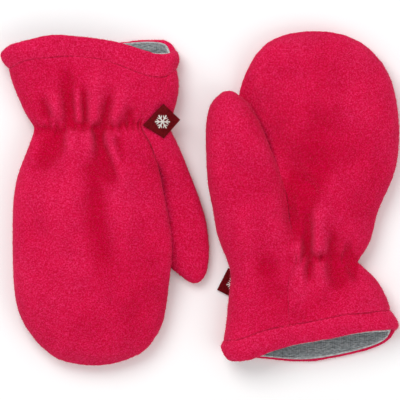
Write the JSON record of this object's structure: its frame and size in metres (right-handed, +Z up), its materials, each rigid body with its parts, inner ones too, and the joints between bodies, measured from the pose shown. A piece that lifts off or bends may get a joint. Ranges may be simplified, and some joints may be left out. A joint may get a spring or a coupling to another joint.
{
  "type": "pair of baby mittens",
  "caption": "Pair of small fleece mittens with thumbs, gathered wrists, turned hems, soft lining in open cuffs and a side tab, laid flat side by side.",
  "frame": {"origin": "middle of the footprint, on the surface that the mittens lie on", "axes": "+X from the right-hand mitten to the left-hand mitten, +Y the way the left-hand mitten's fingertips point, +Z up"},
  "size_m": [0.1826, 0.1536, 0.021],
  "materials": {
    "fleece": "napped, matt",
    "jersey": "knitted, matt",
    "woven_tab": "woven, slight sheen"
  },
  "bodies": {
    "root": {"right_hand_back": "fleece", "right_hand_palm": "fleece", "right_hand_thumb": "fleece", "right_hand_hem": "fleece", "right_hand_lining": "jersey", "right_hand_label": "woven_tab", "left_hand_back": "fleece", "left_hand_palm": "fleece", "left_hand_thumb": "fleece", "left_hand_hem": "fleece", "left_hand_lining": "jersey", "left_hand_label": "woven_tab"}
  },
  "joints": []
}
